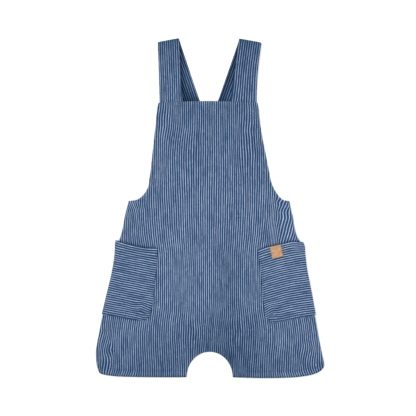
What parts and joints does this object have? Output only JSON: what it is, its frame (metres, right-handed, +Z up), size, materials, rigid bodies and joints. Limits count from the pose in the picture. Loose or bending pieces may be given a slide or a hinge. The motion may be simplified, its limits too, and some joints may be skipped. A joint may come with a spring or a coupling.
{
  "type": "shortalls",
  "caption": "Child's shortalls in striped linen laid flat: bib front, short legs, plain back, crossed shoulder straps folded over, patch pockets across the side folds and a small leather tab.",
  "frame": {"origin": "middle of the garment's outline, on the surface that it lies on", "axes": "+Y up the garment from the leg hems to the shoulder folds, +Z up from the surface, +X to the viewer's right"},
  "size_m": [0.3655, 0.5443, 0.011],
  "materials": {
    "body_linen": "matte slubby linen, fine white stripes along the length on mid blue",
    "strap_linen": "matte slubby linen, stripes along the strap",
    "pocket_linen": "matte slubby linen, stripes across the pocket",
    "label_leather": "tan, soft satin, plain"
  },
  "bodies": {
    "root": {"front_body": "body_linen", "back_body": "body_linen", "strap_left": "strap_linen", "strap_right": "strap_linen", "pocket_left": "pocket_linen", "pocket_right": "pocket_linen", "label": "label_leather"}
  },
  "joints": []
}
